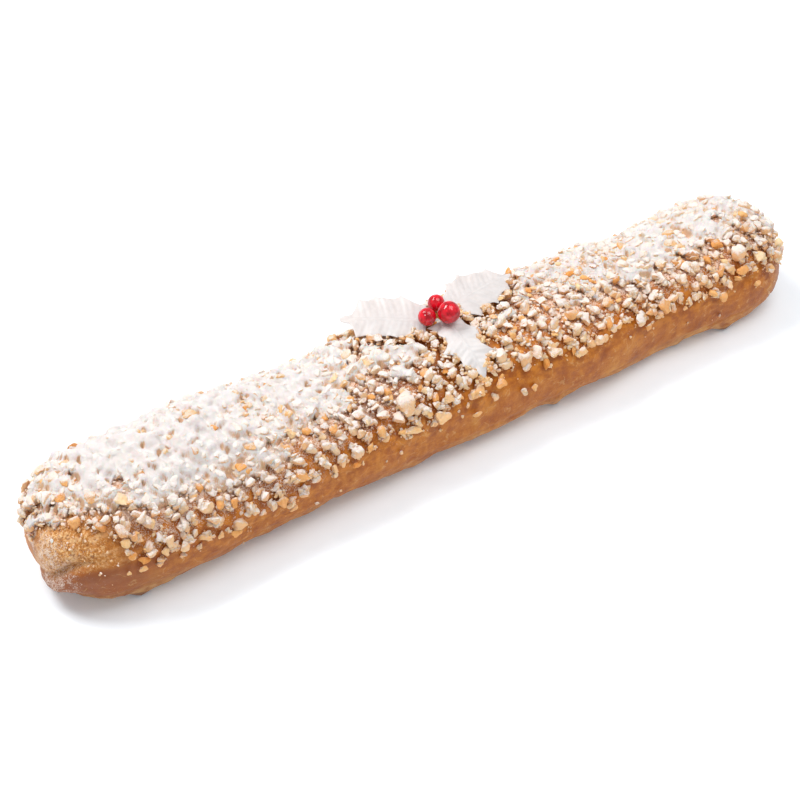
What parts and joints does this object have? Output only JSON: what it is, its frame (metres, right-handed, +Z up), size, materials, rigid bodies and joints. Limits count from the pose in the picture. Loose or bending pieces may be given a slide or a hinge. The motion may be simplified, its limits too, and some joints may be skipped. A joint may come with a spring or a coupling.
{
  "type": "almond pastry log",
  "caption": "Long baked almond pastry log with a flat base and rounded ends, covered in chopped almonds, with white holly leaves and red berries laid across its middle.",
  "frame": {"origin": "middle of the flat base the log rests on", "axes": "+X along the log towards its thinner end, +Z up out of the base, so -Y is the long side that the single front leaf hangs down"},
  "size_m": [0.3204, 0.0628, 0.0513],
  "materials": {
    "pastry": "baked, egg-washed pastry under chopped roasted almonds and icing sugar",
    "leaf": "thin, milky white, slightly translucent sheet",
    "berry": "glossy red"
  },
  "bodies": {
    "root": {"pastry_log": "pastry", "leaf_left": "leaf", "leaf_back": "leaf", "leaf_front": "leaf", "berry_left": "berry", "berry_right": "berry", "berry_back": "berry"}
  },
  "joints": []
}
